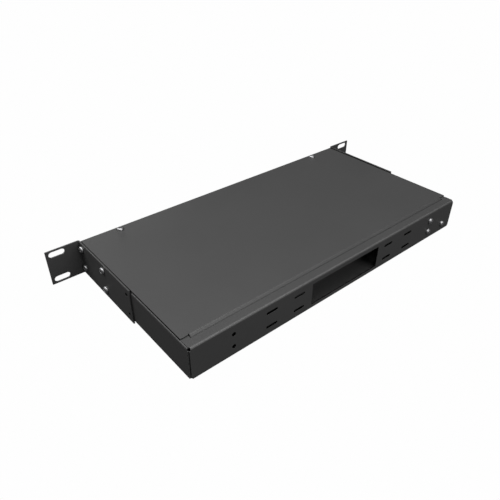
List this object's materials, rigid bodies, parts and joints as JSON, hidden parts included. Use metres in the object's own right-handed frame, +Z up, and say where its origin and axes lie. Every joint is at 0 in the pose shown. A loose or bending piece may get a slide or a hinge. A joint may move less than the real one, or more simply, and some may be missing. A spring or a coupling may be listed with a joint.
{
  "type": "rack fibre enclosure",
  "caption": "One-unit rack-mount fibre enclosure: folded steel body, screwed lid, rack ears, adapter plates in front, splice tray and slack spools inside, cable window behind.",
  "frame": {"origin": "middle of the rack slot pattern, on the plane of the rack rails' front faces (rear face of the ears' flanges)", "axes": "+X to the right seen from the front, +Y to the rear along the depth, +Z up"},
  "size_m": [0.4826, 0.2323, 0.0439],
  "materials": {
    "powder_coat": "matt fine-texture powder coat",
    "zinc": "bright zinc plate",
    "nut_steel": "zinc plate",
    "adapter_plastic": "moulded",
    "cap_plastic": "soft moulded",
    "plunger_nylon": "moulded nylon",
    "tray_plastic": "moulded",
    "cover_clear": "clear sheet",
    "holder_rubber": "soft rubber",
    "guide_plastic": "moulded"
  },
  "bodies": {
    "housing": {"chassis": "powder_coat", "front_panel": "powder_coat", "ear_left": "powder_coat", "ear_right": "powder_coat", "ear_screws": "zinc", "ear_press_nuts": "nut_steel", "lid_press_nuts": "nut_steel", "rear_screws": "zinc", "rear_nuts": "nut_steel", "clamp_bracket": "nut_steel", "clamp_block": "nut_steel", "clamp_screw": "zinc", "splice_tray": "tray_plastic", "splice_holder_left": "holder_rubber", "splice_holder_right": "holder_rubber", "tray_screws": "zinc", "slack_spool_left": "guide_plastic", "slack_spool_right": "guide_plastic", "spool_screws": "zinc", "fibre_clips": "guide_plastic"},
    "lid": {"lid": "powder_coat", "lid_screws": "zinc"},
    "tray_cover": {"splice_tray_cover": "cover_clear"},
    "plate_left": {"adapter_plate_left": "powder_coat", "plunger_sockets_left": "plunger_nylon", "dust_caps_rear_left": "cap_plastic", "adapter_01": "adapter_plastic", "adapter_02": "adapter_plastic", "adapter_03": "adapter_plastic", "adapter_04": "adapter_plastic", "adapter_05": "adapter_plastic", "adapter_06": "adapter_plastic"},
    "caps_left": {"dust_caps_front_left": "cap_plastic"},
    "plate_middle": {"adapter_plate_middle": "powder_coat", "plunger_sockets_middle": "plunger_nylon", "dust_caps_rear_middle": "cap_plastic", "adapter_07": "adapter_plastic", "adapter_08": "adapter_plastic", "adapter_09": "adapter_plastic", "adapter_10": "adapter_plastic", "adapter_11": "adapter_plastic", "adapter_12": "adapter_plastic"},
    "caps_middle": {"dust_caps_front_middle": "cap_plastic"},
    "plate_right": {"adapter_plate_right": "powder_coat", "plunger_sockets_right": "plunger_nylon", "dust_caps_rear_right": "cap_plastic", "adapter_13": "adapter_plastic", "adapter_14": "adapter_plastic", "adapter_15": "adapter_plastic", "adapter_16": "adapter_plastic", "adapter_17": "adapter_plastic", "adapter_18": "adapter_plastic"},
    "caps_right": {"dust_caps_front_right": "cap_plastic"},
    "pin_1": {"plunger_pin_1": "plunger_nylon"},
    "pin_2": {"plunger_pin_2": "plunger_nylon"},
    "pin_3": {"plunger_pin_3": "plunger_nylon"},
    "pin_4": {"plunger_pin_4": "plunger_nylon"},
    "pin_5": {"plunger_pin_5": "plunger_nylon"},
    "pin_6": {"plunger_pin_6": "plunger_nylon"}
  },
  "joints": [
    {"name": "lid_tilt", "type": "hinge", "parent": "housing", "child": "lid", "pos_m": [0, 0.2003, 0.01735], "axis": [-1, 0, 0], "range_deg": [0, 45]},
    {"name": "tray_cover_lift", "type": "slide", "parent": "housing", "child": "tray_cover", "axis": [0, 0, 1], "range_m": [0, 0.015]},
    {"name": "plate_left_pull", "type": "slide", "parent": "housing", "child": "plate_left", "axis": [0, -1, 0], "range_m": [0, 0.03]},
    {"name": "caps_left_pull", "type": "slide", "parent": "plate_left", "child": "caps_left", "axis": [0, -1, 0], "range_m": [0, 0.01]},
    {"name": "plate_middle_pull", "type": "slide", "parent": "housing", "child": "plate_middle", "axis": [0, -1, 0], "range_m": [0, 0.03]},
    {"name": "caps_middle_pull", "type": "slide", "parent": "plate_middle", "child": "caps_middle", "axis": [0, -1, 0], "range_m": [0, 0.01]},
    {"name": "plate_right_pull", "type": "slide", "parent": "housing", "child": "plate_right", "axis": [0, -1, 0], "range_m": [0, 0.03]},
    {"name": "caps_right_pull", "type": "slide", "parent": "plate_right", "child": "caps_right", "axis": [0, -1, 0], "range_m": [0, 0.01]},
    {"name": "plunger_1_pull", "type": "slide", "parent": "plate_left", "child": "pin_1", "axis": [0, -1, 0], "range_m": [0, 0.004]},
    {"name": "plunger_2_pull", "type": "slide", "parent": "plate_left", "child": "pin_2", "axis": [0, -1, 0], "range_m": [0, 0.004]},
    {"name": "plunger_3_pull", "type": "slide", "parent": "plate_middle", "child": "pin_3", "axis": [0, -1, 0], "range_m": [0, 0.004]},
    {"name": "plunger_4_pull", "type": "slide", "parent": "plate_middle", "child": "pin_4", "axis": [0, -1, 0], "range_m": [0, 0.004]},
    {"name": "plunger_5_pull", "type": "slide", "parent": "plate_right", "child": "pin_5", "axis": [0, -1, 0], "range_m": [0, 0.004]},
    {"name": "plunger_6_pull", "type": "slide", "parent": "plate_right", "child": "pin_6", "axis": [0, -1, 0], "range_m": [0, 0.004]}
  ]
}
